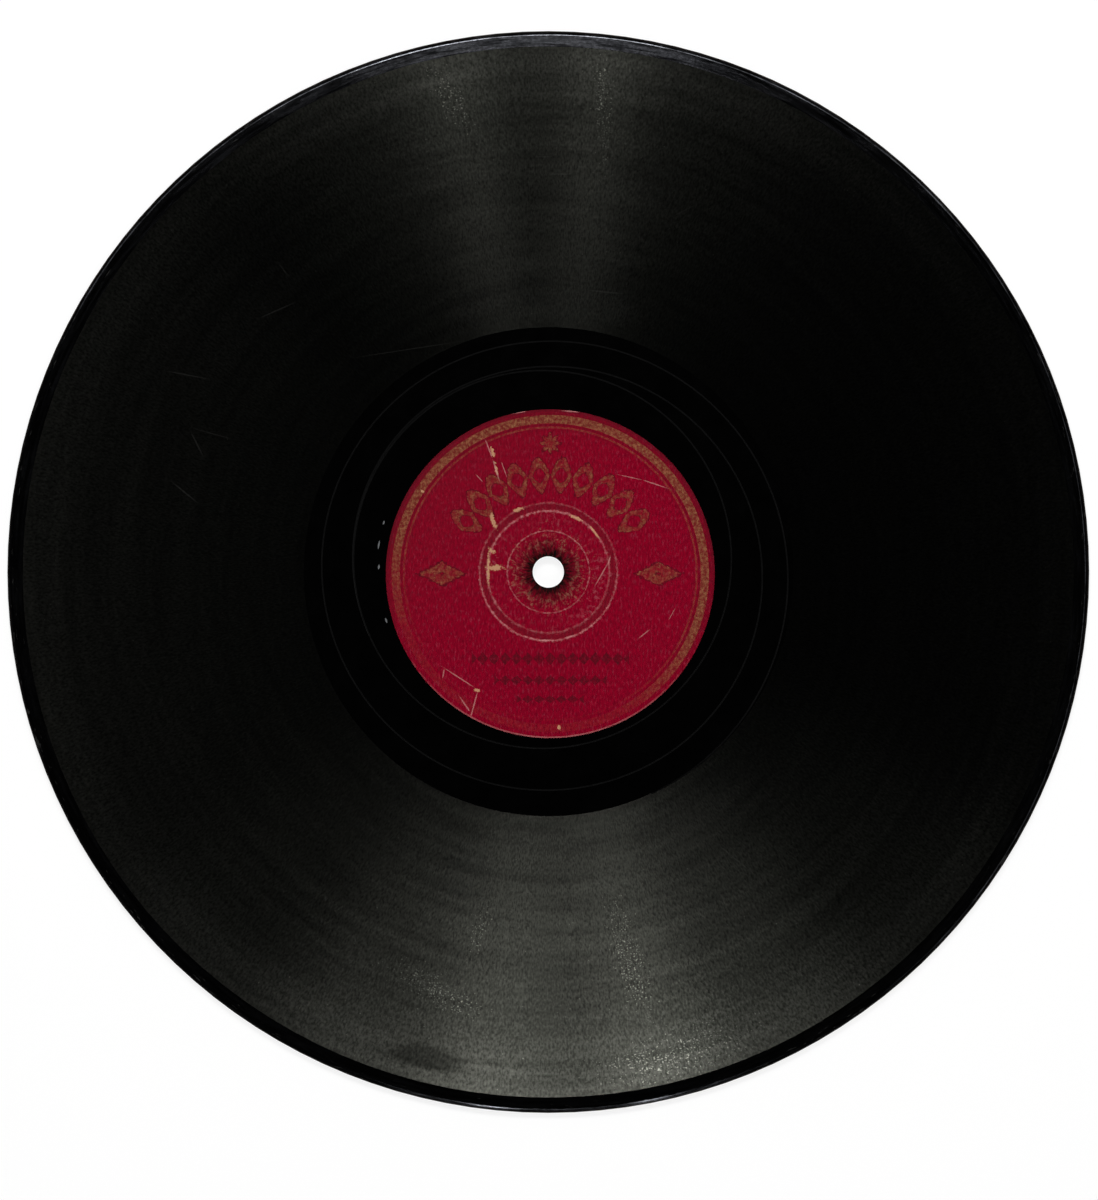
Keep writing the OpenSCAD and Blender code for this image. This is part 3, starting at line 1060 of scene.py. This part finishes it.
def label_material(colours, size, side):
    """Calendered paper, printed and pressed in: red with bronze and dark print, worn as a played label is.

    The eye gets a soft red with short upright fibres, bronze print worn off towards the bottom, pale lines
    on the press marks, worn by sleeves and fingers and also a painted highlight where they face the lamps,
    bare paper in the tears and grime at the hole. Painted shade darkens the upper left, the channel and
    the top of the edge, and a painted highlight lightens the bottom of the edge.
    """
    material, put = new_material("paper_printed_label_" + side)
    on = label_field(put, size, side)
    motif = ornament(put, on)
    torn = put("Math MULTIPLY_ADD", on.ragged, 4.0, nearest_mark(put, on.axis_place, TEARS))
    torn = put("MapRange", torn, 1.05, 0.7, 0.0, 0.85)
    fleck = put("MapRange", on.fibre, 0.25, 0.75)
    colour = put("Mix RGBA", fleck, colours.label_deep, colours.label)
    layers = stock_layers(put, on)
    layers += bronze_layers(put, colours, on, motif)
    layers += dark_layers(put, colours, on, motif)
    layers += press_layers(put, colours, size, on)
    layers += hole_layers(put, colours, on)
    layers += edge_layers(put, colours, on, torn)
    for mask, tone in layers:
        colour = put("Mix RGBA", mask, colour, tone)
    height = put("Math MULTIPLY_ADD", torn, -1.5, on.fibre)
    bump = put("Bump", Height=height, Strength=0.35, Distance=0.00003)
    rough = put("MapRange", on.wear, 0.3, 0.7, 0.5, 0.65)
    dull_gloss = {"Specular IOR Level": 0.03}
    finish = put("BsdfPrincipled", colour, Roughness=rough, IOR=1.45, Normal=bump, **dull_gloss)
    put("OutputMaterial", finish)
    return material


def core_material(colours):
    """Filler stock of slate dust and shellac, ground at the rim.

    The eye gets a dull dark brown with pale grit of half a millimetre.
    """
    material, put = new_material("filler_stock_ground")
    here = put("TexCoord").node.outputs["Object"]
    grit = put("TexVoronoi", here, Scale=1800.0)
    cloud = put("TexNoise", here, Scale=260.0, Detail=4.0)
    pale = put("MapRange", grit, 0.35, 0.1, 0.0, 0.5)
    colour = put("Mix RGBA", cloud, linear("#080706"), colours.core)
    colour = put("Mix RGBA", pale, colour, linear("#221e1b"))
    bump = put("Bump", Height=grit, Strength=0.3, Distance=0.00003)
    rough = put("MapRange", cloud, 0.3, 0.7, 0.45, 0.65)
    dull_gloss = {"Specular IOR Level": 0.05}
    finish = put("BsdfPrincipled", colour, Roughness=rough, IOR=1.54, Normal=bump, **dull_gloss)
    put("OutputMaterial", finish)
    return material


def ply_material(colours):
    """Kraft paper soaked with shellac, cut by the press.

    The eye gets a thin brown line at the rim, with fibres that run along it.
    """
    material, put = new_material("kraft_paper_soaked")
    here = put("TexCoord").node.outputs["Object"]
    along = put("Mapping", here, (0, 0, 0), (0, 0, 0), (400, 400, 9000))
    fibre = put("TexNoise", along, Scale=1.0, Detail=4.0, Roughness=0.6)
    colour = put("Mix RGBA", fibre, linear("#17110c"), colours.ply)
    bump = put("Bump", Height=fibre, Strength=0.3, Distance=0.00002)
    rough = put("MapRange", fibre, 0.3, 0.7, 0.55, 0.75)
    dull_gloss = {"Specular IOR Level": 0.05}
    finish = put("BsdfPrincipled", colour, Roughness=rough, IOR=1.48, Normal=bump, **dull_gloss)
    put("OutputMaterial", finish)
    return material


def floor_material():
    """Matte white board.

    Part of its white is its own colour in the lamps' light, so that the eye gets a soft shadow.
    """
    material, put = new_material("board_matte_white")
    seen = put("LightPath").node.outputs
    shown = put("Math MAXIMUM", seen["Is Camera Ray"], seen["Is Glossy Ray"])
    shown = put("Math MAXIMUM", shown, seen["Is Transmission Ray"])
    glow = put("Math MULTIPLY", shown, 0.85)
    light = {"Emission Color": (1.0, 1.0, 1.0, 1.0), "Emission Strength": glow, "Specular IOR Level": 0.0}
    put("OutputMaterial", put("BsdfPrincipled", (0.18, 0.18, 0.18, 1.0), Roughness=1.0, **light))
    return material


def softbox(name, turn, lean, width, height, share):
    """An area lamp aimed at the disc.

    Its power is the share of light times pi squared times the distance squared, over the cosine of the
    lean.
    """
    turn, lean = math.radians(turn), math.radians(lean)
    place = Vector((math.sin(lean) * math.sin(turn), math.sin(lean) * math.cos(turn), math.cos(lean)))
    light = bpy.data.lights.new(name, "AREA")
    light.shape = "RECTANGLE"
    light.size = width
    light.size_y = height
    light.energy = share * math.pi**2 * LAMP_DISTANCE**2 / math.cos(lean)
    lamp = bpy.data.objects.new(name, light)
    lamp.location = place * LAMP_DISTANCE
    lamp.rotation_euler = place.to_track_quat("Z", "Y").to_euler()
    lamp.visible_camera = False
    bpy.context.scene.collection.objects.link(lamp)


def studio_world():
    """A studio that is white to the camera, pale at the horizon and dark overhead."""
    world = bpy.data.worlds.new("studio")
    world.use_nodes = True
    world.node_tree.nodes.clear()
    put = partial(put_node, world.node_tree)
    way = put("TexCoord").node.outputs["Generated"]
    rise = put("SeparateXYZ", way).node.outputs["Z"]
    dim = put("MapRange SMOOTHSTEP", rise, 0.05, 0.7, 0.3, 0.006)
    seen = put("LightPath").node.outputs["Is Camera Ray"]
    strength = put("Mix", seen, dim, 1.0)
    put("OutputWorld", put("Background", (1.0, 1.0, 1.0, 1.0), strength))
    bpy.context.scene.world = world


class RECORD_OT_faces(bpy.types.Operator):
    """Makes both playing faces, each with one groove from the margin to the stop ring"""

    bl_idname = "record.faces"
    bl_label = "Playing faces"

    def execute(self, context):
        size = in_millimetres(context.scene.record_sizes)
        colours = context.scene.record_colours
        surface = face_surface(size)
        for side in "ab":
            materials = [groove_material(side), smooth_material(colours, side), margin_material(side)]
            name = "grooved_face_" + side
            face = piece(name, surface, materials, side, size.disc_d / 2, size, grooved=True)
            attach(face, "root")
            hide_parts("playing_face_" + side)
        return {"FINISHED"}


class RECORD_OT_labels(bpy.types.Operator):
    """Makes both paper labels with their print, press marks and wear"""

    bl_idname = "record.labels"
    bl_label = "Labels"

    def execute(self, context):
        size = in_millimetres(context.scene.record_sizes)
        colours = context.scene.record_colours
        surface = label_surface(size)
        reach = size.label_r + LABEL_ROOM
        for side in "ab":
            materials = [label_material(colours, size, side)]
            label = piece("printed_label_" + side, surface, materials, side, reach, size)
            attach(label, "root")
            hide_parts("label_" + side)
        return {"FINISHED"}


class RECORD_OT_laminate(bpy.types.Operator):
    """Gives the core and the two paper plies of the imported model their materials"""

    bl_idname = "record.laminate"
    bl_label = "Core and plies"

    def execute(self, context):
        colours = context.scene.record_colours
        ply = ply_material(colours)
        finishes = {"core": core_material(colours), "paper_ply_a": ply, "paper_ply_b": ply}
        for name, material in finishes.items():
            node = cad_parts[name]
            node.data.materials.clear()
            node.data.materials.append(material)
        return {"FINISHED"}


class RECORD_OT_stage(bpy.types.Operator):
    """Sets the floor, the lamps, the world and the camera straight above the disc"""

    bl_idname = "record.stage"
    bl_label = "Stage"

    def execute(self, context):
        scene = context.scene
        size = in_millimetres(scene.record_sizes)
        mesh = bpy.data.meshes.new("floor")
        ways = ((-1, -1), (1, -1), (1, 1), (-1, 1))
        mesh.from_pydata([(x * FLOOR_HALF, y * FLOOR_HALF, FLOOR_Z) for x, y in ways], [], [(0, 1, 2, 3)])
        mesh.materials.append(floor_material())
        floor = bpy.data.objects.new("floor", mesh)
        scene.collection.objects.link(floor)

        for name, values in LAMPS.items():
            softbox(name, *values)
        studio_world()

        view = PICTURE[1] * PIXEL_MM * MM
        camera = bpy.data.objects.new("camera", bpy.data.cameras.new("camera"))
        camera.data.lens = LENS_MM
        camera.data.sensor_fit = "VERTICAL"
        camera.data.sensor_height = SENSOR_MM
        across = (PICTURE[0] / 2 - DISC_CENTRE_PX[0]) * PIXEL_MM * MM
        down = (PICTURE[1] / 2 - DISC_CENTRE_PX[1]) * PIXEL_MM * MM
        camera.location = (across, -down, size.disc_t * MM + view * LENS_MM / SENSOR_MM)
        scene.collection.objects.link(camera)
        scene.camera = camera
        scene.view_settings.view_transform = "Standard"
        return {"FINISHED"}


class RECORD_PT_build(bpy.types.Panel):
    """Lists the steps that dress the record"""

    bl_idname = "RECORD_PT_build"
    bl_label = "Shellac record"
    bl_space_type = "VIEW_3D"
    bl_region_type = "UI"
    bl_category = "Record"

    def draw(self, context):
        for step in STEPS:
            self.layout.operator(step.bl_idname)
        for group in (context.scene.record_sizes, context.scene.record_colours):
            column = self.layout.column()
            for name in type(group).__annotations__:
                column.prop(group, name)


STEPS = (RECORD_OT_faces, RECORD_OT_labels, RECORD_OT_laminate, RECORD_OT_stage)
CLASSES = (RecordSizes, RecordColours) + STEPS + (RECORD_PT_build,)


def register():
    for cls in CLASSES:
        bpy.utils.register_class(cls)
    bpy.types.Scene.record_sizes = PointerProperty(type=RecordSizes)
    bpy.types.Scene.record_colours = PointerProperty(type=RecordColours)


def unregister():
    del bpy.types.Scene.record_colours
    del bpy.types.Scene.record_sizes
    for cls in reversed(CLASSES):
        bpy.utils.unregister_class(cls)


def main():
    register()
    bpy.ops.record.faces()
    bpy.ops.record.labels()
    bpy.ops.record.laminate()
    bpy.ops.record.stage()


if __name__ == "__main__":
    main()
